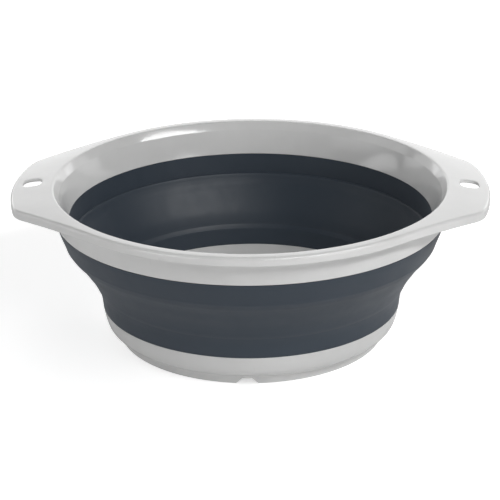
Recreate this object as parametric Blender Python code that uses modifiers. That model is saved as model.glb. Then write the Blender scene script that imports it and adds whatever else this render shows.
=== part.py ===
# Collapsible bowl: a moulded rim with two ears, a folding wall and a footed base.
# Metres, +Z up, the foot stands on z = 0, the ears lie along X, and the axis of the bowl is Z.

import math

import bmesh
import bpy

# Stack of heights, from the surface that the foot stands on up to the rim
BASE_HEIGHT = 0.0242
LOWER_BAND_HEIGHT = 0.0162
WEB_HEIGHT = 0.0334
UPPER_BAND_HEIGHT = 0.0158
RIM_HEIGHT = 0.0234

# Rim: the mouth's lower edge, then steps outwards to the flange, the skirt and the lip. The funnel has a
# crease below its top edge, and the shoulder between the two leans out further
MOUTH_RADIUS = 0.1285
FUNNEL_FLARE = 0.0125
FLANGE_OVERHANG = 0.0056
COLLAR_WALL = 0.0093
SKIRT_FLARE = 0.0019
SKIRT_LIFT = 0.0004
SHOULDER_RUN = 0.0058
SHOULDER_RISE = 0.0062
MOUTH_FILLET = 0.0038
FLANGE_FALL = math.radians(7.3)
FLANGE_WALL = 0.0024
FLANGE_EDGE_ROUND = 0.0018
LIP_DEPTH = 0.0063
LIP_WALL = 0.0022
FUNNEL_WALL = 0.0024
SKIRT_WALL = 0.0022
RIM_EDGE_ROUND = 0.0003

# Ears, which run out from the flange, and their hanging holes
EAR_REACH = 0.0219
EAR_CORNER_RADIUS = 0.0250
EAR_HALF_ANGLE = math.radians(15.5)
HOLE_FROM_TIP = 0.0140
HOLE_LENGTH = 0.0156
HOLE_WIDTH = 0.0134

# Folding wall: steps inwards from the skirt down to the base, and wall thicknesses
UPPER_BAND_RUN = 0.0056
WEB_RUN = 0.0219
LOWER_BAND_RUN = 0.0036
UPPER_HINGE_WALL = 0.0064
LOWER_HINGE_WALL = 0.0029
LOWER_HINGE_SLANT = 0.0027
BAND_LEDGE = 0.0014
BAND_TOP_SETBACK = 0.0002

# Base: dish, floor and foot ring
DISH_RUN = 0.0107
FOOT_DRAFT = 0.0012
BASE_TOP_WALL = 0.0030
FOOT_HEIGHT = 0.0068
FOOT_STEP = 0.0013
FOOT_WALL = 0.0026
FLOOR_UNDERSIDE = 0.0054
FLOOR_WALL = 0.0025
FLOOR_CROWN = 0.0008
FLOOR_CORNER = 0.0160
KEY_WALL = 0.0011
KEY_HEIGHT = 0.0048

# Notches in the foot ring
NOTCH_COUNT = 4
NOTCH_WIDTH = 0.0153
NOTCH_TOP_WIDTH = 0.0065
NOTCH_HEIGHT = 0.0043

# Fits and mesh fineness
SEAT_GAP = 0.0003
CUT_OVERRUN = 0.0020
MERGE_DISTANCE = 0.00001
TURN_STEPS = 72
HOLE_STEPS = 24
FILLET_STEPS = 3
CORNER_STEPS = 4
SMOOTH_ANGLE = math.radians(32)

# The channel under the rim and the wedge in it, as shares of the height where the channel's walls would meet
CHANNEL_SHARE = 0.72
WEDGE_SHARE = 0.63

# Outlines as shares of the run in radius and of the rise between their two end rings
WEB_OUTER_SHARES = ((0.0, 0.0), (0.096, 0.138), (0.219, 0.287), (0.370, 0.437), (0.525, 0.587),
                    (0.680, 0.737), (0.890, 0.886), (1.0, 1.0))
WEB_INNER_SHARES = ((0.0, 0.0), (0.104, 0.168), (0.257, 0.347), (0.432, 0.512), (0.623, 0.678),
                    (0.825, 0.843), (0.967, 0.956), (1.0, 1.0))
UPPER_BAND_OUTER_SHARES = ((0.0, 0.0), (0.27, 0.20), (0.48, 0.40), (0.81, 0.71), (1.0, 1.0))
LOWER_BAND_OUTER_SHARES = ((0.0, 0.0), (0.19, 0.36), (0.42, 0.68), (0.63, 0.86), (1.0, 1.0))
LOWER_BAND_INNER_SHARES = ((0.0, 0.0), (0.27, 0.31), (0.66, 0.70), (1.0, 1.0))
DISH_OUTER_SHARES = ((0.0, 0.0), (0.45, 0.21), (0.72, 0.48), (0.91, 0.76), (1.0, 1.0))
DISH_INNER_SHARES = ((0.0, 0.0), (0.36, 0.07), (0.66, 0.22), (0.85, 0.46), (0.95, 0.74), (1.0, 1.0))

# Radii, each a step from the one before
FLANGE_ROOT_RADIUS = MOUTH_RADIUS + FUNNEL_FLARE
CREASE_RADIUS = FLANGE_ROOT_RADIUS - SHOULDER_RUN
FLANGE_RADIUS = FLANGE_ROOT_RADIUS + FLANGE_OVERHANG
EAR_TIP_RADIUS = FLANGE_RADIUS + EAR_REACH
HOLE_FROM_AXIS = EAR_TIP_RADIUS - HOLE_FROM_TIP
SKIRT_BOTTOM_RADIUS = MOUTH_RADIUS + COLLAR_WALL
SKIRT_TOP_RADIUS = SKIRT_BOTTOM_RADIUS + SKIRT_FLARE
UPPER_HINGE_RADIUS = SKIRT_BOTTOM_RADIUS - UPPER_BAND_RUN
LOWER_HINGE_RADIUS = UPPER_HINGE_RADIUS - WEB_RUN
BASE_TOP_RADIUS = LOWER_HINGE_RADIUS - LOWER_BAND_RUN
FOOT_TOP_RADIUS = BASE_TOP_RADIUS - DISH_RUN
FOOT_BOTTOM_RADIUS = FOOT_TOP_RADIUS - FOOT_DRAFT

# Heights of the rings where one piece meets the next
LOWER_BAND_Z = BASE_HEIGHT
LOWER_HINGE_Z = LOWER_BAND_Z + LOWER_BAND_HEIGHT
UPPER_HINGE_Z = LOWER_HINGE_Z + WEB_HEIGHT
RIM_Z = UPPER_HINGE_Z + UPPER_BAND_HEIGHT

# The web turns inside out, so the rim comes down by twice the web's height
FOLD_TRAVEL = 2 * WEB_HEIGHT


def clear_scene():
    for item in list(bpy.data.objects):
        bpy.data.objects.remove(item, do_unlink=True)


def new_collection(name):
    group = bpy.data.collections.new(name)
    bpy.context.scene.collection.children.link(group)
    return group


def plastic(name, colour, roughness):
    """A moulded material: its colour, its roughness, and no metal in it."""
    finish = bpy.data.materials.new(name)
    finish.use_nodes = True
    shader = finish.node_tree.nodes["Principled BSDF"]
    shader.inputs["Base Color"].default_value = (*colour, 1.0)
    shader.inputs["Roughness"].default_value = roughness
    shader.inputs["Metallic"].default_value = 0.0
    finish.diffuse_color = (*colour, 1.0)
    return finish


def place(mesh, name, group, finish, height, carrier=None):
    """Puts a finished mesh into the model at its height above the foot."""
    item = bpy.data.objects.new(name, mesh)
    group.objects.link(item)
    item.location = (0.0, 0.0, height)
    if finish:
        mesh.materials.append(finish)
    if carrier:
        item.parent = carrier
        item.location = (0.0, 0.0, height - carrier.location.z)
    return item


def between(start, end, shares):
    """Points between two rings, each at its share of the run and of the rise."""
    run, rise = end[0] - start[0], end[1] - start[1]
    return [(start[0] + run * across, start[1] + rise * up) for across, up in shares]


def smooth(points, parts=2):
    """A rounder line through the same points, with extra points between them."""
    line = []
    for i in range(len(points) - 1):
        before = points[max(i - 1, 0)]
        after = points[min(i + 2, len(points) - 1)]
        for k in range(parts):
            t = k / parts
            line.append(tuple(
                hermite(points[i][n], points[i + 1][n], (points[i + 1][n] - before[n]) / 2,
                        (after[n] - points[i][n]) / 2, t)
                for n in range(2)))
    return line + [points[-1]]


def hermite(start, end, leave, arrive, t):
    return ((2 * t**3 - 3 * t**2 + 1) * start + (t**3 - 2 * t**2 + t) * leave
            + (3 * t**2 - 2 * t**3) * end + (t**3 - t**2) * arrive)


def arc(centre, radius, first, last, steps):
    """Points on an arc of a section, its angles counted from straight outwards."""
    turns = [first + (last - first) * k / steps for k in range(steps + 1)]
    return [(centre[0] + radius * math.cos(a), centre[1] + radius * math.sin(a)) for a in turns]


def turned(name, outline, closed):
    """A solid of revolution from an outline that runs down its outer side."""
    count = len(outline)
    edges = [(i, i + 1) for i in range(count - 1)]
    if closed:
        edges.append((count - 1, 0))
    mesh = bpy.data.meshes.new(name)
    mesh.from_pydata([(r, 0.0, z) for r, z in outline], edges, [])
    return mesh


def turn(item):
    screw = item.modifiers.new("turned", "SCREW")
    screw.axis = "Z"
    screw.angle = 2 * math.pi
    screw.steps = TURN_STEPS
    screw.render_steps = TURN_STEPS
    screw.use_smooth_shade = True
    screw.use_merge_vertices = True
    screw.merge_threshold = MERGE_DISTANCE


def cut(item, cutter):
    cutter.hide_render = True
    cutter.display_type = "WIRE"
    away = item.modifiers.new("cut_" + cutter.name, "BOOLEAN")
    away.operation = "DIFFERENCE"
    away.solver = "EXACT"
    away.object = cutter


# Rim

def ear_outline(azimuth):
    """Radius of the flange's edge: ear end, rounded corner, straight side, then the round part."""
    turn_x, turn_y = abs(math.cos(azimuth)), abs(math.sin(azimuth))
    angle = math.atan2(turn_y, turn_x)
    to_corner = EAR_TIP_RADIUS - EAR_CORNER_RADIUS
    side_angle = EAR_HALF_ANGLE + math.acos((FLANGE_RADIUS - EAR_CORNER_RADIUS) / to_corner)
    if angle <= EAR_HALF_ANGLE:
        return EAR_TIP_RADIUS
    if angle >= side_angle:
        return FLANGE_RADIUS
    if angle >= corner_end_angle():
        return FLANGE_RADIUS / math.cos(side_angle - angle)
    offset = angle - EAR_HALF_ANGLE
    sideways = to_corner * math.sin(offset)
    return to_corner * math.cos(offset) + math.sqrt(EAR_CORNER_RADIUS**2 - sideways**2)


def corner_end_angle():
    """Azimuth at which the ear's rounded corner runs into its straight side."""
    to_corner = EAR_TIP_RADIUS - EAR_CORNER_RADIUS
    side_angle = EAR_HALF_ANGLE + math.acos((FLANGE_RADIUS - EAR_CORNER_RADIUS) / to_corner)
    x = to_corner * math.cos(EAR_HALF_ANGLE) + EAR_CORNER_RADIUS * math.cos(side_angle)
    y = to_corner * math.sin(EAR_HALF_ANGLE) + EAR_CORNER_RADIUS * math.sin(side_angle)
    return math.atan2(y, x)


def rim_azimuths():
    """Even steps round the mouth, with more of them at the four corners of the ears."""
    turns = {round(2 * math.pi * k / TURN_STEPS, 9) for k in range(TURN_STEPS)}
    last = corner_end_angle()
    for k in range(CORNER_STEPS + 1):
        corner = EAR_HALF_ANGLE + (last - EAR_HALF_ANGLE) * k / CORNER_STEPS
        for azimuth in (corner, math.pi - corner, math.pi + corner, 2 * math.pi - corner):
            turns.add(round(azimuth, 9))
    kept = []
    least = 2 * math.pi / TURN_STEPS / (2 * CORNER_STEPS)
    for azimuth in sorted(turns):
        if not kept or azimuth - kept[-1] > least:
            kept.append(azimuth)
    return kept


def funnel_lean():
    """Lean of the funnel's wall between its lower edge and the crease."""
    return math.atan2(CREASE_RADIUS - MOUTH_RADIUS, RIM_HEIGHT - SHOULDER_RISE)


def shoulder_lean():
    """Lean of the shoulder, which runs from the crease to touch the mouth's fillet."""
    run, rise = SHOULDER_RUN, SHOULDER_RISE - MOUTH_FILLET
    return math.atan2(run, rise) - math.asin(MOUTH_FILLET / math.hypot(run, rise))


def channel_sides(share):
    """Radii and height of the channel's two walls, at a share of the height where they would meet."""
    lean = math.tan(funnel_lean())
    skirt_lean = SKIRT_FLARE / (RIM_HEIGHT - FLANGE_WALL)
    inside = MOUTH_RADIUS + FUNNEL_WALL / math.cos(funnel_lean())
    outside = SKIRT_BOTTOM_RADIUS - SKIRT_WALL
    height = share * (outside - inside) / (lean - skirt_lean)
    return inside + height * lean, outside + height * skirt_lean, height


def rim_section(edge_radius):
    """Closed section of the rim, from the funnel's lower edge up, out and back under."""
    lean = funnel_lean()

    def flange_top(radius):
        return RIM_HEIGHT - (radius - FLANGE_ROOT_RADIUS) * math.tan(FLANGE_FALL)

    edge_centre_r = edge_radius - FLANGE_EDGE_ROUND
    edge_centre_z = flange_top(edge_centre_r) - FLANGE_EDGE_ROUND / math.cos(FLANGE_FALL)
    lip_bottom = flange_top(edge_radius) - LIP_DEPTH
    lip_inside = edge_radius - LIP_WALL
    channel_in, channel_out, _ = channel_sides(0.0)
    apex_in, apex_out, apex_height = channel_sides(CHANNEL_SHARE)
    ease = RIM_EDGE_ROUND

    line = [(MOUTH_RADIUS + ease, 0.0), (MOUTH_RADIUS + ease * math.tan(lean), ease)]
    line += [(CREASE_RADIUS, RIM_HEIGHT - SHOULDER_RISE)]
    line += arc((FLANGE_ROOT_RADIUS, RIM_HEIGHT - MOUTH_FILLET), MOUTH_FILLET,
                math.pi - shoulder_lean(), math.pi / 2 - FLANGE_FALL, FILLET_STEPS)
    line += arc((edge_centre_r, edge_centre_z), FLANGE_EDGE_ROUND,
                math.pi / 2 - FLANGE_FALL, 0.0, FILLET_STEPS)
    line += [(edge_radius, lip_bottom + ease), (edge_radius - ease, lip_bottom)]
    line += [(lip_inside, lip_bottom), (lip_inside, flange_top(lip_inside) - FLANGE_WALL)]
    line += [(SKIRT_TOP_RADIUS, flange_top(SKIRT_TOP_RADIUS) - FLANGE_WALL)]
    line += [(SKIRT_BOTTOM_RADIUS, SKIRT_LIFT + ease), (SKIRT_BOTTOM_RADIUS - ease, SKIRT_LIFT)]
    line += [(channel_out, SKIRT_LIFT), (apex_out, apex_height), (apex_in, apex_height), (channel_in, 0.0)]
    return line


def make_rim(group, cutters, finish, carrier):
    """The rim is lofted through sections round the mouth, because its flange swells into ears."""
    shape = bmesh.new()
    rings = []
    for azimuth in rim_azimuths():
        section = rim_section(ear_outline(azimuth))
        rings.append([shape.verts.new((r * math.cos(azimuth), r * math.sin(azimuth), z))
                      for r, z in section])
    points = len(rings[0])
    for i, ring in enumerate(rings):
        following = rings[(i + 1) % len(rings)]
        for j in range(points):
            k = (j + 1) % points
            shape.faces.new((ring[j], ring[k], following[k], following[j]))
    bmesh.ops.recalc_face_normals(shape, faces=shape.faces)
    mesh = bpy.data.meshes.new("rim")
    shape.to_mesh(mesh)
    shape.free()
    mesh.shade_smooth()
    mesh.set_sharp_from_angle(angle=SMOOTH_ANGLE)
    rim = place(mesh, "rim", group, finish, RIM_Z, carrier)
    for side, direction in (("left", -1), ("right", 1)):
        cut(rim, hole_cutter(side, direction, cutters))
    return rim


def hole_cutter(side, direction, cutters):
    """An oval peg that stands through the ear."""
    depth = RIM_HEIGHT + 2 * CUT_OVERRUN
    shape = bmesh.new()
    bmesh.ops.create_cone(shape, cap_ends=True, segments=HOLE_STEPS, radius1=0.5, radius2=0.5, depth=1)
    bmesh.ops.scale(shape, vec=(HOLE_WIDTH, HOLE_LENGTH, depth), verts=shape.verts)
    mesh = bpy.data.meshes.new("hole_" + side)
    shape.to_mesh(mesh)
    shape.free()
    peg = place(mesh, "hole_" + side, cutters, None, RIM_Z + RIM_HEIGHT / 2)
    peg.location.x = direction * HOLE_FROM_AXIS
    return peg


# Folding wall

def make_upper_band(group, finish, carrier):
    """The stiff band under the rim, with a wedge that fills the rim's channel."""
    top = UPPER_BAND_HEIGHT - SEAT_GAP
    outer_low = (UPPER_HINGE_RADIUS, SEAT_GAP)
    outer_high = (SKIRT_BOTTOM_RADIUS - BAND_TOP_SETBACK, top + SKIRT_LIFT)
    outer = between(outer_low, outer_high, UPPER_BAND_OUTER_SHARES)[::-1]
    inner_low = (UPPER_HINGE_RADIUS - UPPER_HINGE_WALL + BAND_LEDGE, SEAT_GAP)
    inner_high = (MOUTH_RADIUS + BAND_TOP_SETBACK, top)
    wedge_in, wedge_out, _ = channel_sides(0.0)
    tip_in, tip_out, rise = channel_sides(WEDGE_SHARE)
    wedge = [(tip_in + SEAT_GAP, UPPER_BAND_HEIGHT + rise), (tip_out - SEAT_GAP, UPPER_BAND_HEIGHT + rise),
             (wedge_out - SEAT_GAP, top + SKIRT_LIFT)]
    outline = wedge + outer + [inner_low, inner_high, (wedge_in + SEAT_GAP, top)]
    band = place(turned("upper_band", outline, True), "upper_band", group, finish, UPPER_HINGE_Z, carrier)
    turn(band)
    return band


def make_fold_web(group, finish, carrier):
    """The thin cone between the two hinge lines, which turns inside out when the bowl folds."""
    inner_hinge = UPPER_HINGE_RADIUS - UPPER_HINGE_WALL
    outer = smooth(between((LOWER_HINGE_RADIUS, SEAT_GAP), (UPPER_HINGE_RADIUS, WEB_HEIGHT), WEB_OUTER_SHARES))
    inner_low = (LOWER_HINGE_RADIUS - LOWER_HINGE_WALL, SEAT_GAP - LOWER_HINGE_SLANT)
    inner = between(inner_low, (inner_hinge, WEB_HEIGHT), WEB_INNER_SHARES)
    outline = outer[::-1] + inner
    web = place(turned("fold_web", outline, True), "fold_web", group, finish, LOWER_HINGE_Z, carrier)
    turn(web)
    return web


def key_places():
    """Radii of the base's key at its foot and at its tip, midway in the lower band's wall."""
    middle = BASE_TOP_RADIUS - BASE_TOP_WALL / 2
    lean = (LOWER_HINGE_RADIUS - LOWER_HINGE_WALL - BASE_TOP_RADIUS + BASE_TOP_WALL) / LOWER_BAND_HEIGHT
    return middle, middle + lean * KEY_HEIGHT / 2


def make_lower_band(group, finish, carrier):
    """The band above the base, with a groove that sits over the base's key."""
    outer_low = (BASE_TOP_RADIUS, SEAT_GAP)
    inner_low = (BASE_TOP_RADIUS - BASE_TOP_WALL, SEAT_GAP)
    outer = between(outer_low, (LOWER_HINGE_RADIUS, LOWER_BAND_HEIGHT), LOWER_BAND_OUTER_SHARES)
    ledge = (LOWER_HINGE_RADIUS - LOWER_HINGE_WALL, LOWER_BAND_HEIGHT - LOWER_HINGE_SLANT)
    inner_high = (ledge[0] - BAND_LEDGE, ledge[1] - BAND_LEDGE / 2)
    inner = between(inner_low, inner_high, LOWER_BAND_INNER_SHARES)
    foot, tip = key_places()
    half = KEY_WALL / 2 + SEAT_GAP
    groove_top = KEY_HEIGHT + SEAT_GAP
    groove = [(foot + half, SEAT_GAP), (tip + half, groove_top), (tip - half, groove_top), (foot - half, SEAT_GAP)]
    outline = outer[::-1] + groove + inner + [ledge]
    band = place(turned("lower_band", outline, True), "lower_band", group, finish, LOWER_BAND_Z, carrier)
    turn(band)
    return band


# Base

def make_base(group, cutters, finish, carrier):
    """The dish with its foot ring, and the key that holds the folding wall."""
    floor = FLOOR_UNDERSIDE + FLOOR_WALL
    inner_rim = (BASE_TOP_RADIUS - BASE_TOP_WALL, BASE_HEIGHT)
    corner = (FOOT_TOP_RADIUS - FLOOR_CORNER / 2, floor)
    inner = smooth(between(corner, inner_rim, DISH_INNER_SHARES))
    foot, tip = key_places()
    half = KEY_WALL / 2
    key = [(foot - half, BASE_HEIGHT), (tip - half, BASE_HEIGHT + KEY_HEIGHT),
           (tip + half, BASE_HEIGHT + KEY_HEIGHT), (foot + half, BASE_HEIGHT)]
    outer = smooth(between((FOOT_TOP_RADIUS + FOOT_STEP, FOOT_HEIGHT), (BASE_TOP_RADIUS, BASE_HEIGHT),
                           DISH_OUTER_SHARES))[::-1]
    foot_inside = FOOT_BOTTOM_RADIUS - FOOT_WALL
    ring = [(FOOT_TOP_RADIUS, FOOT_HEIGHT), (FOOT_BOTTOM_RADIUS, 0.0), (foot_inside, 0.0),
            (foot_inside, FLOOR_UNDERSIDE)]
    outline = [(0.0, floor + FLOOR_CROWN)] + inner + key + outer + ring + [(0.0, FLOOR_UNDERSIDE + FLOOR_CROWN)]
    base = place(turned("base", outline, False), "base", group, finish, 0.0, carrier)
    turn(base)
    for k in range(NOTCH_COUNT):
        cut(base, notch_cutter(k, cutters))
    return base


def notch_cutter(number, cutters):
    """A wedge that narrows upwards, laid across the foot ring."""
    shape = bmesh.new()
    bmesh.ops.create_cube(shape, size=1)
    length = FOOT_WALL + 2 * (FOOT_DRAFT + CUT_OVERRUN)
    rise = NOTCH_HEIGHT + CUT_OVERRUN
    flare = (NOTCH_WIDTH - NOTCH_TOP_WIDTH) * CUT_OVERRUN / NOTCH_HEIGHT
    bmesh.ops.scale(shape, vec=(NOTCH_TOP_WIDTH, length, rise), verts=shape.verts)
    low = [v for v in shape.verts if v.co.z < 0]
    bmesh.ops.scale(shape, vec=((NOTCH_WIDTH + flare) / NOTCH_TOP_WIDTH, 1, 1), verts=low)
    mesh = bpy.data.meshes.new("notch_%d" % number)
    shape.to_mesh(mesh)
    shape.free()
    wedge = place(mesh, "notch_%d" % number, cutters, None, NOTCH_HEIGHT - rise / 2)
    azimuth = 2 * math.pi * number / NOTCH_COUNT
    middle = FOOT_BOTTOM_RADIUS - FOOT_WALL / 2
    wedge.location.x = middle * math.sin(azimuth)
    wedge.location.y = -middle * math.cos(azimuth)
    wedge.rotation_euler.z = azimuth
    return wedge


def make_carrier(name, group, height):
    """An empty on the bowl's axis that carries the pieces of one body."""
    carrier = bpy.data.objects.new(name, None)
    group.objects.link(carrier)
    carrier.location = (0.0, 0.0, height)
    return carrier


def main():
    clear_scene()
    bowl = new_collection("collapsible_bowl")
    cutters = new_collection("cutters")
    rim_plastic = plastic("rim_plastic", (0.74, 0.74, 0.735), 0.22)
    base_plastic = plastic("base_plastic", (0.72, 0.72, 0.715), 0.26)
    band_rubber = plastic("upper_band_rubber", (0.040, 0.052, 0.069), 0.42)
    web_rubber = plastic("fold_web_rubber", (0.038, 0.050, 0.067), 0.42)
    lower_rubber = plastic("lower_band_rubber", (0.040, 0.052, 0.069), 0.42)
    standing = make_carrier("standing_body", bowl, 0.0)
    sliding = make_carrier("fold_slide", bowl, UPPER_HINGE_Z)
    make_rim(bowl, cutters, rim_plastic, sliding)
    make_upper_band(bowl, band_rubber, sliding)
    make_fold_web(bowl, web_rubber, standing)
    make_lower_band(bowl, lower_rubber, standing)
    make_base(bowl, cutters, base_plastic, standing)
    print("height open", RIM_Z + RIM_HEIGHT, "folded", RIM_Z + RIM_HEIGHT - FOLD_TRAVEL)


main()
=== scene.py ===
# Collapsible bowl: a light grey rim with two ears, a dark rubber wall that folds, and a grey base.
# Metres, +Z up. The foot stands on z = 0, the ears lie along X and the camera looks from -Y.
import math

import bmesh
import bpy
from mathutils import Matrix, Vector


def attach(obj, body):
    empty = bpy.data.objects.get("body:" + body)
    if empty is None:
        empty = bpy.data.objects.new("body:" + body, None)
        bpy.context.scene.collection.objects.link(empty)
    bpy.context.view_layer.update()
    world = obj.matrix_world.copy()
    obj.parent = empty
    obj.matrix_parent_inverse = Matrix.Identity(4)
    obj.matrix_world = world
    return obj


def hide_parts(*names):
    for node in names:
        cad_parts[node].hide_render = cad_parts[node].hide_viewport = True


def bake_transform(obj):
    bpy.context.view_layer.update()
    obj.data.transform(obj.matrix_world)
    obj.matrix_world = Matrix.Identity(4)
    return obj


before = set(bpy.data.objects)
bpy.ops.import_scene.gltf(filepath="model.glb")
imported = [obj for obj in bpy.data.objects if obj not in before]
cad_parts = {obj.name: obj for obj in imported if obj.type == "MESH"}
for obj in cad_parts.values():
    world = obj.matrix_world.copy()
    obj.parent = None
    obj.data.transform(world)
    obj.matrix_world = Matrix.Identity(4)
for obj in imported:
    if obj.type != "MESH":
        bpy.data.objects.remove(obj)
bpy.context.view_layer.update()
print("frame loaded:", len(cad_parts), "nodes")


# Shared helpers

meshing = {
    "sharpAngle": math.radians(32),
    "weldDistance": 0.000001,
    "crumbSize": 0.000002,
    "cornerShare": 0.48,  # the most of a side that one rounded corner takes
}


def meshPiece(name, shape):
    bmesh.ops.recalc_face_normals(shape, faces=shape.faces)
    mesh = bpy.data.meshes.new(name)
    shape.to_mesh(mesh)
    shape.free()
    mesh.shade_smooth()
    mesh.set_sharp_from_angle(angle=meshing["sharpAngle"])
    piece = bpy.data.objects.new(name, mesh)
    bpy.context.scene.collection.objects.link(piece)
    return piece


def filletCorner(before, corner, after, radius, steps):
    # an arc that touches both sides of the corner
    here = Vector(corner)
    back, ahead = Vector(before) - here, Vector(after) - here
    half = back.angle(ahead) / 2
    longest = meshing["cornerShare"] * min(back.length, ahead.length)
    reach = min(radius / math.tan(half), longest)
    back, ahead = back.normalized(), ahead.normalized()
    start, end = here + back * reach, here + ahead * reach
    centre = here + (back + ahead).normalized() * reach / math.cos(half)
    first = math.atan2(start.y - centre.y, start.x - centre.x)
    sweep = math.atan2(end.y - centre.y, end.x - centre.x) - first
    sweep = (sweep + math.pi) % (2 * math.pi) - math.pi
    size = (start - centre).length
    turns = [first + sweep * k / steps for k in range(steps + 1)]
    return [(centre.x + size * math.cos(turn), centre.y + size * math.sin(turn)) for turn in turns]


def roundedOutline(corners, steps, closed=True):
    # corners are (r, z, rounding)
    line = []
    count = len(corners)
    for i, (r, z, rounding) in enumerate(corners):
        atEnd = not closed and i in (0, count - 1)
        if rounding == 0 or atEnd:
            line.append((r, z))
            continue
        before, after = corners[i - 1][:2], corners[(i + 1) % count][:2]
        line += filletCorner(before, (r, z), after, rounding, steps)
    return line


def softLine(points, parts):
    # a smooth line through the points, cut into parts between each two of them
    line = []
    for i in range(len(points) - 1):
        before, here = Vector(points[max(i - 1, 0)]), Vector(points[i])
        there, beyond = Vector(points[i + 1]), Vector(points[min(i + 2, len(points) - 1)])
        leave, arrive = (there - before) / 2, (beyond - here) / 2
        for k in range(parts):
            t = k / parts
            spot = (here * (2 * t**3 - 3 * t**2 + 1) + leave * (t**3 - 2 * t**2 + t)
                    + there * (3 * t**2 - 2 * t**3) + arrive * (t**3 - t**2))
            line.append(tuple(spot))
    return line + [tuple(points[-1])]


def fullTurn(steps):
    return [2 * math.pi * k / steps for k in range(steps)]


def joinRings(shape, low, high, closed=True):
    count = len(low)
    for k in range(count if closed else count - 1):
        after = (k + 1) % count
        shape.faces.new((low[k], low[after], high[after], high[k]))


def loftRound(name, sectionAt, steps, closed=True):
    # one section for each azimuth, all with the same number of points
    shape = bmesh.new()
    rings = []
    for azimuth in fullTurn(steps):
        rings.append([shape.verts.new((r * math.cos(azimuth), r * math.sin(azimuth), z))
                      for r, z in sectionAt(azimuth)])
    for ring, following in zip(rings, rings[1:] + rings[:1]):
        joinRings(shape, ring, following, closed)
    bmesh.ops.remove_doubles(shape, verts=shape.verts, dist=meshing["weldDistance"])
    return meshPiece(name, shape)


def cutAway(piece, cutter):
    # the cut is applied here, and its cutter is thrown away
    modifier = piece.modifiers.new("cut", "BOOLEAN")
    modifier.operation = "DIFFERENCE"
    modifier.solver = "EXACT"
    modifier.object = cutter
    bpy.context.view_layer.update()
    cutPiece = piece.evaluated_get(bpy.context.evaluated_depsgraph_get())
    cutMesh = bpy.data.meshes.new_from_object(cutPiece)
    piece.modifiers.clear()
    shape = bmesh.new()
    shape.from_mesh(cutMesh)
    bmesh.ops.dissolve_degenerate(shape, edges=shape.edges, dist=meshing["crumbSize"])
    shape.to_mesh(cutMesh)
    shape.free()
    piece.data = cutMesh
    cutMesh.set_sharp_from_angle(angle=meshing["sharpAngle"])
    bpy.data.objects.remove(cutter, do_unlink=True)


def startMaterial(name):
    material = bpy.data.materials.new(name)
    material.use_nodes = True
    nodes, links = material.node_tree.nodes, material.node_tree.links
    where = nodes.new("ShaderNodeTexCoord").outputs["Object"]
    return material, nodes, links, nodes["Principled BSDF"], where


def noise(nodes, links, where, layer):
    # a layer has perMetre, detail and roughness, and stretch where it runs one way
    if "stretch" in layer:
        mapping = nodes.new("ShaderNodeMapping")
        mapping.inputs["Scale"].default_value = layer["stretch"]
        links.new(where, mapping.inputs["Vector"])
        where = mapping.outputs["Vector"]
    texture = nodes.new("ShaderNodeTexNoise")
    texture.inputs["Scale"].default_value = layer["perMetre"]
    texture.inputs["Detail"].default_value = layer["detail"]
    texture.inputs["Roughness"].default_value = layer["roughness"]
    links.new(where, texture.inputs["Vector"])
    return texture.outputs["Fac"]


def spread(nodes, links, value, levels, gives):
    # goes from the first of gives to the second while the value crosses the levels
    span = nodes.new("ShaderNodeMapRange")
    sockets = ("From Min", "From Max", "To Min", "To Max")
    for socket, number in zip(sockets, (*levels, *gives)):
        span.inputs[socket].default_value = number
    links.new(value, span.inputs["Value"])
    return span.outputs["Result"]


def patches(nodes, links, where, layer):
    # noise that is spread over the layer's own levels
    return spread(nodes, links, noise(nodes, links, where, layer), layer["levels"], layer["gives"])


def combine(nodes, links, operation, first, second):
    node = nodes.new("ShaderNodeMath")
    node.operation = operation
    for socket, value in zip(node.inputs, (first, second)):
        if isinstance(value, (int, float)):
            socket.default_value = value
        else:
            links.new(value, socket)
    return node.outputs["Value"]


def blendColours(nodes, links, share, first, second):
    mix = nodes.new("ShaderNodeMix")
    mix.data_type = "RGBA"
    factor, one, two = [socket for socket in mix.inputs if socket.enabled]
    links.new(share, factor)
    for socket, colour in ((one, first), (two, second)):
        if isinstance(colour, tuple):
            socket.default_value = (*colour, 1.0)
        else:
            links.new(colour, socket)
    return [socket for socket in mix.outputs if socket.enabled][0]


def shade(colour, share):
    return tuple(part * share for part in colour)


def bumpOn(nodes, links, shader, heights):
    # heights are (value, distance in metres), laid one over the other
    under = None
    for value, distance in heights:
        bump = nodes.new("ShaderNodeBump")
        bump.inputs["Distance"].default_value = distance
        links.new(value, bump.inputs["Height"])
        if under:
            links.new(under, bump.inputs["Normal"])
        under = bump.outputs["Normal"]
    links.new(under, shader.inputs["Normal"])


# Camera

photoView = {
    "lensMillimetres": 136.1,
    "sensorMillimetres": 36.0,
    "aim": (-0.0006, 0.0, 0.0603),
    "distance": 1.3548,
    "lookDown": math.radians(21.63),
    "turn": math.radians(1.95),
    "roll": math.radians(-0.49),
    "nearest": 0.05,
    "farthest": 50.0,
}


def setCamera(settings):
    down, turn = settings["lookDown"], settings["turn"]
    level = math.cos(down)
    right = Vector((math.cos(turn), math.sin(turn), 0))
    forward = Vector((-math.sin(turn) * level, math.cos(turn) * level, -math.sin(down)))
    facing = Matrix((right, right.cross(forward), -forward)).transposed().to_4x4()
    camera = bpy.data.objects.new("photoCamera", bpy.data.cameras.new("photoCamera"))
    bpy.context.scene.collection.objects.link(camera)
    spot = Matrix.Translation(Vector(settings["aim"]) - forward * settings["distance"])
    camera.matrix_world = spot @ facing @ Matrix.Rotation(settings["roll"], 4, "Z")
    camera.data.lens = settings["lensMillimetres"]
    camera.data.sensor_width = settings["sensorMillimetres"]
    camera.data.clip_start = settings["nearest"]
    camera.data.clip_end = settings["farthest"]
    bpy.context.scene.camera = camera


setCamera(photoView)
print("camera set")


# Rim moulding: funnel, flange with its two ears, turned-down lip, skirt, and the wall's channel

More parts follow.
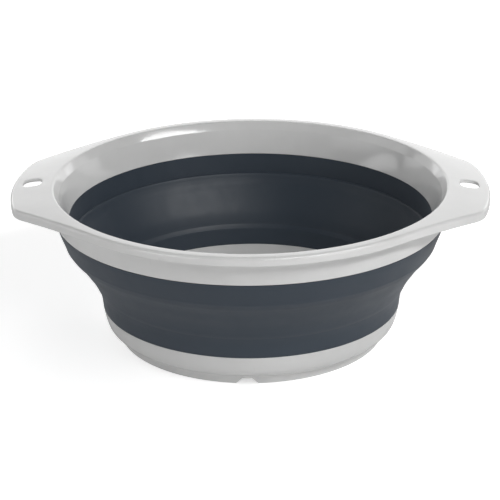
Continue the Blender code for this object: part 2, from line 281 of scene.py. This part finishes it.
rimShape = {
    "bottom": 0.0896,
    "top": 0.11284,
    "mouthRadius": 0.1285,
    "funnelLean": math.radians(21.2),
    "funnelWall": 0.0024,
    "creaseHeight": 0.0172,
    "shoulderLean": math.radians(31),
    "mouthRounding": 0.0020,
    "flangeRoot": 0.1410,
    "flangeRadius": 0.1466,
    "flangeFall": math.radians(0.5),
    "earFall": math.radians(7.3),
    "earFallEnds": math.radians(70),
    "flangeWall": 0.0024,
    "edgeRounding": 0.0024,
    "lipDepth": 0.0063,
    "lipWall": 0.0022,
    "skirtBottom": 0.1378,
    "skirtLift": 0.0004,
    "skirtTop": 0.1397,
    "skirtWall": 0.0022,
    "channelDepth": 0.0110,
    "smallRounding": 0.0006,
    "channelRounding": 0.0003,
    "mouthEdgeRounding": 0.0003,
    "creaseRounding": 0.0003,
    "roundingSteps": 7,
    "earReach": 0.1685,
    "earCorner": 0.0250,
    "earHalfAngle": math.radians(15.5),
    "holeFromAxis": 0.1545,
    "holeWidth": 0.0134,
    "holeLength": 0.0156,
    "holeRounding": 0.0007,
    "holeRoundingSteps": 6,
    "holeSquareness": 2.6,
    "holeSteps": 64,
    "steps": 288,
}


def fromEars(azimuth):
    # angle to the nearer ear's middle line
    return math.atan2(abs(math.sin(azimuth)), abs(math.cos(azimuth)))


def flangeFall(azimuth, settings=rimShape):
    # the flange is nearly level in front and behind, and falls away more towards the ears
    start, end = settings["earHalfAngle"], settings["earFallEnds"]
    share = min(max((fromEars(azimuth) - start) / (end - start), 0), 1)
    share = share * share * (3 - 2 * share)
    return settings["earFall"] + (settings["flangeFall"] - settings["earFall"]) * share


def flangeTop(radius, azimuth, settings=rimShape):
    fall = math.tan(flangeFall(azimuth, settings))
    return settings["top"] - (radius - settings["flangeRoot"]) * fall


def earEdge(azimuth, settings=rimShape):
    # radius of the flange's edge: ear end, rounded corner, straight side, then the round part
    reach, corner, half = settings["earReach"], settings["earCorner"], settings["earHalfAngle"]
    toCorner = reach - corner
    sideAngle = half + math.acos((settings["flangeRadius"] - corner) / toCorner)
    cornerEnd = math.atan2(toCorner * math.sin(half) + corner * math.sin(sideAngle),
                           toCorner * math.cos(half) + corner * math.cos(sideAngle))
    angle = fromEars(azimuth)
    if angle <= half:
        return reach
    if angle >= sideAngle:
        return settings["flangeRadius"]
    if angle >= cornerEnd:
        return settings["flangeRadius"] / math.cos(sideAngle - angle)
    across, along = toCorner * math.sin(angle - half), toCorner * math.cos(angle - half)
    return along + math.sqrt(corner**2 - across**2)


def channelSides(height, settings=rimShape):
    # radii of the channel's two sides, so far above the rim's bottom
    lean = settings["funnelLean"]
    inside = settings["mouthRadius"] + height * math.tan(lean)
    skirtRise = settings["top"] - settings["bottom"]
    skirtLean = (settings["skirtTop"] - settings["skirtBottom"]) / skirtRise
    outside = settings["skirtBottom"] + height * skirtLean
    return inside + settings["funnelWall"] / math.cos(lean), outside - settings["skirtWall"]


def rimSection(azimuth, settings=rimShape):
    edge = earEdge(azimuth)
    bottom, wall = settings["bottom"], settings["flangeWall"]
    small, inChannel = settings["smallRounding"], settings["channelRounding"]
    # the shoulder leans out from a crease in the funnel, and meets the flange's line at the mouth
    creaseZ = bottom + settings["creaseHeight"]
    creaseR = settings["mouthRadius"] + settings["creaseHeight"] * math.tan(settings["funnelLean"])
    out, down = math.tan(settings["shoulderLean"]), math.tan(flangeFall(azimuth))
    toFlange = settings["flangeRoot"] - creaseR + creaseZ * out
    mouthZ = (settings["top"] + down * toFlange) / (1 + down * out)
    mouthR = creaseR + (mouthZ - creaseZ) * out
    lipBottom = flangeTop(edge, azimuth) - settings["lipDepth"]
    lipInside = edge - settings["lipWall"]
    lowIn, lowOut = channelSides(0)
    highIn, highOut = channelSides(settings["channelDepth"])
    channelTop, skirtFoot = bottom + settings["channelDepth"], bottom + settings["skirtLift"]
    return roundedOutline([
        (settings["mouthRadius"], bottom, settings["mouthEdgeRounding"]),
        (creaseR, creaseZ, settings["creaseRounding"]),
        (mouthR, mouthZ, settings["mouthRounding"]),
        (edge, flangeTop(edge, azimuth), settings["edgeRounding"]),
        (edge, lipBottom, small),
        (lipInside, lipBottom, small),
        (lipInside, flangeTop(lipInside, azimuth) - wall, small),
        (settings["skirtTop"], flangeTop(settings["skirtTop"], azimuth) - wall, small),
        (settings["skirtBottom"], skirtFoot, small),
        (lowOut, skirtFoot, inChannel),
        (highOut, channelTop, inChannel),
        (highIn, channelTop, inChannel),
        (lowIn, bottom, inChannel),
    ], settings["roundingSteps"])


def squareOval(turn, width, length, squareness):
    # a point of an oval that is a little squarer than an ellipse
    across, along = math.cos(turn), math.sin(turn)
    x = math.copysign(abs(across)**(2 / squareness), across) * width / 2
    y = math.copysign(abs(along)**(2 / squareness), along) * length / 2
    return x, y


def holeCutter(settings):
    # one plug through each ear, flared where it meets the ear's top and its underside
    rounding, flareSteps = settings["holeRounding"], settings["holeRoundingSteps"]
    levels = [(2 * rounding, rounding)]
    for k in range(flareSteps + 1):
        turn = math.pi / 2 * k / flareSteps
        levels.append((rounding * (1 - math.sin(turn)), -rounding * (1 - math.cos(turn))))
    levels += [(growth, -settings["flangeWall"] - height) for growth, height in levels[::-1]]
    shape = bmesh.new()
    for side in (-1, 1):
        rings = []
        for growth, height in levels:
            ring = []
            for turn in fullTurn(settings["holeSteps"]):
                x, y = squareOval(turn, settings["holeWidth"] + 2 * growth,
                                  settings["holeLength"] + 2 * growth, settings["holeSquareness"])
                x += side * settings["holeFromAxis"]
                z = flangeTop(math.hypot(x, y), math.atan2(y, x)) + height
                ring.append(shape.verts.new((x, y, z)))
            rings.append(ring)
        for low, high in zip(rings, rings[1:]):
            joinRings(shape, low, high)
        shape.faces.new(rings[0])
        shape.faces.new(rings[-1])
    return meshPiece("holeCutter", shape)


def makeRim(settings):
    rim = loftRound("rimMoulding", rimSection, settings["steps"])
    cutAway(rim, holeCutter(settings))
    return rim


rim = makeRim(rimShape)
print("rim:", len(rim.data.polygons), "faces")


# Folding wall: one rubber moulding from the rim's channel down to the base

wallShape = {
    "upperHinge": (0.1322, 0.0738),
    "lowerHinge": (0.1103, 0.0404),
    # points (r, z) from the rim down the outside, then up the inside
    "outerBand": [(0.1376, 0.0897), (0.1366, 0.0860), (0.1351, 0.0818), (0.1336, 0.0778),
                  (0.1324, 0.0746)],
    "outerWeb": [(0.1320, 0.0731), (0.1296, 0.0695), (0.1270, 0.0666), (0.1237, 0.0626),
                 (0.1198, 0.0570), (0.1157, 0.0509), (0.1128, 0.0456), (0.1112, 0.0422)],
    "outerFoot": [(0.1098, 0.0396), (0.1087, 0.0366), (0.1080, 0.0340), (0.1073, 0.0298),
                  (0.1067, 0.0244)],
    "innerFoot": [(0.1036, 0.0244), (0.1040, 0.0285), (0.1047, 0.0325), (0.1053, 0.0360)],
    "lowerLedge": (0.1055, 0.0369),
    "innerWeb": [(0.1079, 0.0394), (0.1091, 0.0432), (0.1110, 0.0481), (0.1136, 0.0530),
                 (0.1168, 0.0582), (0.1202, 0.0636), (0.1232, 0.0680), (0.1252, 0.0722)],
    "upperLedge": [(0.1256, 0.0738), (0.1262, 0.0746), (0.1272, 0.0748)],
    "innerBand": [(0.1273, 0.0757), (0.1277, 0.0800), (0.1282, 0.0850), (0.1286, 0.0894)],
    "lineParts": 5,
    "upperFoldRadius": 0.0006,
    "lowerFoldRadius": 0.0003,
    "ledgeRadius": 0.0006,
    "foldSteps": 5,
    "ledgeSteps": 4,
    "wedgeHeight": 0.0096,
    "clearance": 0.0002,
    "steps": 288,
}


def wallOutline(settings):
    parts, foldSteps = settings["lineParts"], settings["foldSteps"]
    ledgeSteps = settings["ledgeSteps"]
    outer = softLine(settings["outerBand"], parts)
    outer += filletCorner(outer[-1], settings["upperHinge"], settings["outerWeb"][0],
                          settings["upperFoldRadius"], foldSteps)
    outer += softLine(settings["outerWeb"], parts)
    outer += filletCorner(outer[-1], settings["lowerHinge"], settings["outerFoot"][0],
                          settings["lowerFoldRadius"], foldSteps)
    outer += softLine(settings["outerFoot"], parts)
    inner = softLine(settings["innerFoot"], parts)
    inner += filletCorner(inner[-1], settings["lowerLedge"], settings["innerWeb"][0],
                          settings["ledgeRadius"], ledgeSteps)
    inner += softLine(settings["innerWeb"], parts)
    inner += softLine(settings["upperLedge"], ledgeSteps)
    inner += softLine(settings["innerBand"], parts)
    # the wedge that fills the rim's channel
    gap, bottom = settings["clearance"], rimShape["bottom"]
    lowIn, lowOut = channelSides(0)
    highIn, highOut = channelSides(settings["wedgeHeight"])
    wedgeTop = bottom + settings["wedgeHeight"]
    wedge = [(lowIn + gap, bottom), (highIn + gap, wedgeTop),
             (highOut - gap, wedgeTop), (lowOut - gap, bottom)]
    return outer + inner + wedge


def makeWall(settings):
    outline = wallOutline(settings)
    return loftRound("foldingWall", lambda azimuth: outline, settings["steps"])


wall = makeWall(wallShape)
print("folding wall:", len(wall.data.polygons), "faces")


# Base moulding: dish, floor and foot ring with four notches

baseShape = {
    "outer": [(0.1067, 0.0240), (0.1061, 0.0205), (0.1051, 0.0160), (0.1034, 0.0115),
              (0.1003, 0.0083), (0.0973, 0.0069)],
    "outerParts": 6,
    "footTop": (0.0960, 0.0068),
    "footBottom": (0.0948, 0.0),
    "footWall": 0.0026,
    "footRounding": 0.0006,
    "footStepRounding": 0.0002,
    "underside": 0.0054,
    "inner": [(0.0880, 0.0079), (0.0936, 0.0089), (0.0984, 0.0115), (0.1014, 0.0154),
              (0.1030, 0.0200), (0.1036, 0.0240)],
    "innerParts": 8,
    "floorTop": 0.0079,
    "crown": 0.0007,
    "brimTop": 0.02425,
    "brimInset": 0.00005,
    "brimRounding": 0.00015,
    "brimSteps": 3,
    "notches": 4,
    "notchWidth": 0.0153,
    "notchTopWidth": 0.0065,
    "notchHeight": 0.0043,
    "notchRounding": 0.0012,
    "notchBeyond": 0.004,  # how far the cutter stands out below, beside and inside
    "notchOutward": 0.008,
    "roundingSteps": 5,
    "steps": 288,
}


def baseOutline(settings):
    rounding = settings["footRounding"]
    outer = softLine(settings["outer"], settings["outerParts"])
    footR, footZ = settings["footTop"]
    endR, endZ = settings["footBottom"]
    inside, under = endR - settings["footWall"], settings["underside"]
    ring = roundedOutline([
        (*outer[-1], 0),
        (footR, footZ, settings["footStepRounding"]),
        (endR, endZ, rounding),
        (inside, endZ, rounding),
        (inside, under, rounding),
        (0.0, under + settings["crown"], 0),
    ], settings["roundingSteps"], closed=False)
    dish = [(0.0, settings["floorTop"] + settings["crown"])]
    dish += softLine(settings["inner"], settings["innerParts"])
    brimTop, inset = settings["brimTop"], settings["brimInset"]
    brim = roundedOutline([
        (*dish[-1], 0),
        (dish[-1][0] + inset, brimTop, settings["brimRounding"]),
        (outer[0][0] - inset, brimTop, settings["brimRounding"]),
        (*outer[0], 0),
    ], settings["brimSteps"], closed=False)
    return dish[:-1] + brim + outer[1:-1] + ring


def notchCutter(settings):
    # wedges with soft corners, laid across the foot ring
    low, high = settings["notchWidth"] / 2, settings["notchTopWidth"] / 2
    height, soft = settings["notchHeight"], settings["notchRounding"]
    beyond = settings["notchBeyond"]
    outline = roundedOutline([
        (-low, 0.0, soft),
        (-high, height, soft),
        (high, height, soft),
        (low, 0.0, soft),
        (low + beyond, 0.0, 0),
        (low + beyond, -beyond, 0),
        (-low - beyond, -beyond, 0),
        (-low - beyond, 0.0, 0),
    ], settings["roundingSteps"])
    middle = settings["footBottom"][0] - settings["footWall"] / 2
    shape = bmesh.new()
    for azimuth in fullTurn(settings["notches"]):
        turn = Matrix.Rotation(azimuth, 4, "Z")
        near, far = [[shape.verts.new(turn @ Vector((x, y, z))) for x, z in outline]
                     for y in (-middle - settings["notchOutward"], -middle + beyond)]
        joinRings(shape, near, far)
        shape.faces.new(near)
        shape.faces.new(far)
    return meshPiece("notchCutter", shape)


def makeBase(settings):
    outline = baseOutline(settings)
    base = loftRound("baseMoulding", lambda azimuth: outline, settings["steps"], closed=False)
    cutAway(base, notchCutter(settings))
    return base


base = makeBase(baseShape)
print("base:", len(base.data.polygons), "faces")


# Moulded plastic of the rim and the base

plasticFinish = {
    "rimColour": (0.74, 0.74, 0.735),
    "baseColour": (0.72, 0.72, 0.715),
    "specular": 0.6,
    "clouds": {"perMetre": 28, "detail": 4, "roughness": 0.55,
               "levels": (0.35, 0.65), "gives": (0, 1)},
    "cloudShade": 0.95,
    "hairlines": {"perMetre": 320, "detail": 2, "roughness": 0.5, "stretch": (1.0, 0.06, 0.4),
                  "levels": (0.64, 0.70), "gives": (0, 1)},
    "wornPlaces": {"perMetre": 22, "detail": 3, "roughness": 0.55,
                   "levels": (0.52, 0.66), "gives": (0, 1)},
    "hairlineShade": 0.93,
    "hairlineDullness": 0.15,
    "hairlineDepth": 0.00001,
    "gloss": {"perMetre": 90, "detail": 4, "roughness": 0.55,
              "levels": (0.3, 0.7), "gives": (0.08, 0.13)},
    "flow": {"perMetre": 45, "detail": 2, "roughness": 0.55},
    "flowDepth": 0.00018,
    "grain": {"perMetre": 2600, "detail": 2, "roughness": 0.55},
    "grainDepth": 0.000004,
}


def makePlastic(name, colour, settings):
    material, nodes, links, shader, where = startMaterial(name)
    shader.inputs["Specular IOR Level"].default_value = settings["specular"]
    # faint clouds in the grey, as in a moulding with a little regrind in it
    clouds = patches(nodes, links, where, settings["clouds"])
    paint = blendColours(nodes, links, clouds, shade(colour, settings["cloudShade"]), colour)
    # hairline scratches from washing up, only here and there
    hairs = patches(nodes, links, where, settings["hairlines"])
    worn = patches(nodes, links, where, settings["wornPlaces"])
    hairs = combine(nodes, links, "MULTIPLY", hairs, worn)
    paint = blendColours(nodes, links, hairs, paint, shade(colour, settings["hairlineShade"]))
    links.new(paint, shader.inputs["Base Color"])
    gloss = patches(nodes, links, where, settings["gloss"])
    dull = combine(nodes, links, "MULTIPLY", hairs, settings["hairlineDullness"])
    links.new(combine(nodes, links, "ADD", gloss, dull), shader.inputs["Roughness"])
    # the mould's flow, its grain, and the scratches cut into both
    bumpOn(nodes, links, shader, (
        (noise(nodes, links, where, settings["flow"]), settings["flowDepth"]),
        (noise(nodes, links, where, settings["grain"]), settings["grainDepth"]),
        (combine(nodes, links, "SUBTRACT", 1, hairs), settings["hairlineDepth"]),
    ))
    return material


# Satin rubber of the folding wall

rubberFinish = {
    "colour": (0.031, 0.044, 0.062),
    "specular": 0.55,
    "sheen": 0.05,
    "bloomColour": (0.040, 0.054, 0.073),
    "bloom": {"perMetre": 30, "detail": 5, "roughness": 0.6,
              "levels": (0.40, 0.72), "gives": (0, 0.35)},
    "bloomDullness": 0.2,
    "foldColour": (0.085, 0.096, 0.112),
    "foldShare": 0.10,
    "foldReach": 0.0016,
    "foldPatches": {"perMetre": 120, "detail": 3, "roughness": 0.55,
                    "levels": (0.35, 0.65), "gives": (0.4, 1)},
    "speckColour": (0.16, 0.17, 0.18),
    "specksPerMetre": 700,
    "speckSize": (0.05, 0.10),  # solid within the first, gone at the second, in speck spacings
    "speckShare": 0.5,
    "dustyPlaces": {"perMetre": 75, "detail": 2, "roughness": 0.55,
                    "levels": (0.60, 0.68), "gives": (0, 1)},
    "gloss": {"perMetre": 70, "detail": 4, "roughness": 0.55,
              "levels": (0.3, 0.7), "gives": (0.46, 0.52)},
    "flow": {"perMetre": 60, "detail": 2, "roughness": 0.55},
    "flowDepth": 0.00012,
    "grain": {"perMetre": 3200, "detail": 3, "roughness": 0.55},
    "grainDepth": 0.000012,
}


def nearHeight(nodes, links, height, level, reach):
    # 1 at the level, 0 at reach above or below it
    away = combine(nodes, links, "SUBTRACT", height, level)
    away = combine(nodes, links, "ABSOLUTE", away, 0)
    return spread(nodes, links, away, (0, reach), (1, 0))


def makeRubber(name, settings):
    material, nodes, links, shader, where = startMaterial(name)
    shader.inputs["Specular IOR Level"].default_value = settings["specular"]
    shader.inputs["Sheen Weight"].default_value = settings["sheen"]
    # a dull bloom that wiping leaves in broad patches
    bloom = patches(nodes, links, where, settings["bloom"])
    paint = blendColours(nodes, links, bloom, settings["colour"], settings["bloomColour"])
    # the rubber turns paler where it bends at the two fold lines
    axes = nodes.new("ShaderNodeSeparateXYZ")
    links.new(where, axes.inputs["Vector"])
    upper, lower = [
        nearHeight(nodes, links, axes.outputs["Z"], wallShape[hinge][1], settings["foldReach"])
        for hinge in ("upperHinge", "lowerHinge")]
    folds = combine(nodes, links, "MAXIMUM", upper, lower)
    folds = combine(nodes, links, "MULTIPLY", folds, settings["foldShare"])
    patchy = patches(nodes, links, where, settings["foldPatches"])
    folds = combine(nodes, links, "MULTIPLY", folds, patchy)
    paint = blendColours(nodes, links, folds, paint, settings["foldColour"])
    # specks of dust and lint
    cells = nodes.new("ShaderNodeTexVoronoi")
    cells.inputs["Scale"].default_value = settings["specksPerMetre"]
    links.new(where, cells.inputs["Vector"])
    specks = spread(nodes, links, cells.outputs["Distance"], settings["speckSize"],
                    (settings["speckShare"], 0))
    dusty = patches(nodes, links, where, settings["dustyPlaces"])
    specks = combine(nodes, links, "MULTIPLY", specks, dusty)
    paint = blendColours(nodes, links, specks, paint, settings["speckColour"])
    links.new(paint, shader.inputs["Base Color"])
    gloss = patches(nodes, links, where, settings["gloss"])
    dull = combine(nodes, links, "MULTIPLY", bloom, settings["bloomDullness"])
    links.new(combine(nodes, links, "ADD", gloss, dull), shader.inputs["Roughness"])
    bumpOn(nodes, links, shader, (
        (noise(nodes, links, where, settings["flow"]), settings["flowDepth"]),
        (noise(nodes, links, where, settings["grain"]), settings["grainDepth"]),
    ))
    return material


def dress(piece, material):
    piece.data.materials.clear()
    piece.data.materials.append(material)


dress(rim, makePlastic("rimPlastic", plasticFinish["rimColour"], plasticFinish))
dress(base, makePlastic("basePlastic", plasticFinish["baseColour"], plasticFinish))
dress(wall, makeRubber("wallRubber", rubberFinish))
print("finishes made")


# What each piece rides on and stands for

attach(rim, "rim_body")
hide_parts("rim")
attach(base, "base_body")
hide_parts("base")
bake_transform(wall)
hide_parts("upper_band", "fold_web", "lower_band")
print("pieces ride on the rim and the base")


# Floor, lamps and the light round about

studio = {
    "floorSize": 9.0,
    "floorColour": (0.82, 0.82, 0.82),
    "floorWhite": 0.6,
    "floorMirrorShare": 0.05,
    "airMirrorShare": 0.03,
    "aroundStrength": 0.0,
    # degrees round the bowl from the camera's side, rightwards, then degrees up, metres away,
    # width, height and watts
    "lamps": {
        "keyBox": (45, 42.5, 1.4, 1.6, 0.22, 11.4),
        "rightFrontLow": (44, 8, 1.4, 0.95, 0.45, 3.5),
        "rightBack": (130, 10, 1.4, 0.9, 0.6, 1.5),
        "backWall": (180, 21, 1.6, 2.7, 1.5, 17.5),
        "backHigh": (180, 62, 1.4, 1.2, 0.5, 1.0),
        "leftBack": (230, 10, 1.4, 0.9, 0.6, 1.9),
        "leftBox": (275, 28, 1.4, 1.5, 0.55, 1.8),
        "leftLow": (270, 8, 1.4, 0.8, 0.3, 1.3),
        "leftFrontLow": (318, 6, 1.4, 0.95, 0.35, 3.5),
    },
    "lampShape": "ELLIPSE",
    "lampsAimAt": (0.0, 0.0, 0.06),
}


def seesWhite(nodes, links, mirrorShare):
    # the camera meets all of the white, reflected and see-through rays a share of it
    path = nodes.new("ShaderNodeLightPath").outputs
    mirrored = combine(nodes, links, "MAXIMUM", path["Is Glossy Ray"], path["Is Transmission Ray"])
    mirrored = combine(nodes, links, "MULTIPLY", mirrored, mirrorShare)
    return combine(nodes, links, "MAXIMUM", path["Is Camera Ray"], mirrored)


def makeFloor(settings):
    half = settings["floorSize"] / 2
    corners = ((-half, -half), (half, -half), (half, half), (-half, half))
    shape = bmesh.new()
    shape.faces.new([shape.verts.new((x, y, 0)) for x, y in corners])
    floor = meshPiece("floor", shape)
    material = bpy.data.materials.new("floorPaint")
    material.use_nodes = True
    nodes, links = material.node_tree.nodes, material.node_tree.links
    nodes.clear()
    matt = nodes.new("ShaderNodeBsdfDiffuse")
    matt.inputs["Color"].default_value = (*settings["floorColour"], 1)
    # white laid over the paint, so that the lit floor comes out white and the bowl's shadow stays
    white = nodes.new("ShaderNodeEmission")
    seen = seesWhite(nodes, links, settings["floorMirrorShare"])
    strength = combine(nodes, links, "MULTIPLY", seen, settings["floorWhite"])
    links.new(strength, white.inputs["Strength"])
    both = nodes.new("ShaderNodeAddShader")
    links.new(matt.outputs["BSDF"], both.inputs[0])
    links.new(white.outputs["Emission"], both.inputs[1])
    output = nodes.new("ShaderNodeOutputMaterial")
    links.new(both.outputs["Shader"], output.inputs["Surface"])
    dress(floor, material)


def lightAround(settings):
    world = bpy.data.worlds.new("studioAir")
    world.use_nodes = True
    nodes, links = world.node_tree.nodes, world.node_tree.links
    seen = seesWhite(nodes, links, settings["airMirrorShare"])
    strength = spread(nodes, links, seen, (0, 1), (settings["aroundStrength"], 1))
    links.new(strength, nodes["Background"].inputs["Strength"])
    nodes["Background"].inputs["Color"].default_value = (1, 1, 1, 1)
    bpy.context.scene.world = world


def hangLamps(settings):
    middle = Vector(settings["lampsAimAt"])
    for name, (around, up, distance, width, height, watts) in settings["lamps"].items():
        data = bpy.data.lights.new(name, "AREA")
        data.shape = settings["lampShape"]
        data.size = width
        data.size_y = height
        data.energy = watts
        lamp = bpy.data.objects.new(name, data)
        bpy.context.scene.collection.objects.link(lamp)
        turn, rise = math.radians(around), math.radians(up)
        level = math.cos(rise)
        away = Vector((level * math.sin(turn), -level * math.cos(turn), math.sin(rise)))
        lamp.location = middle + away * distance
        lamp.rotation_euler = away.to_track_quat("Z", "Y").to_euler()


makeFloor(studio)
lightAround(studio)
hangLamps(studio)
bpy.context.scene.view_settings.view_transform = "Standard"
print("studio set")
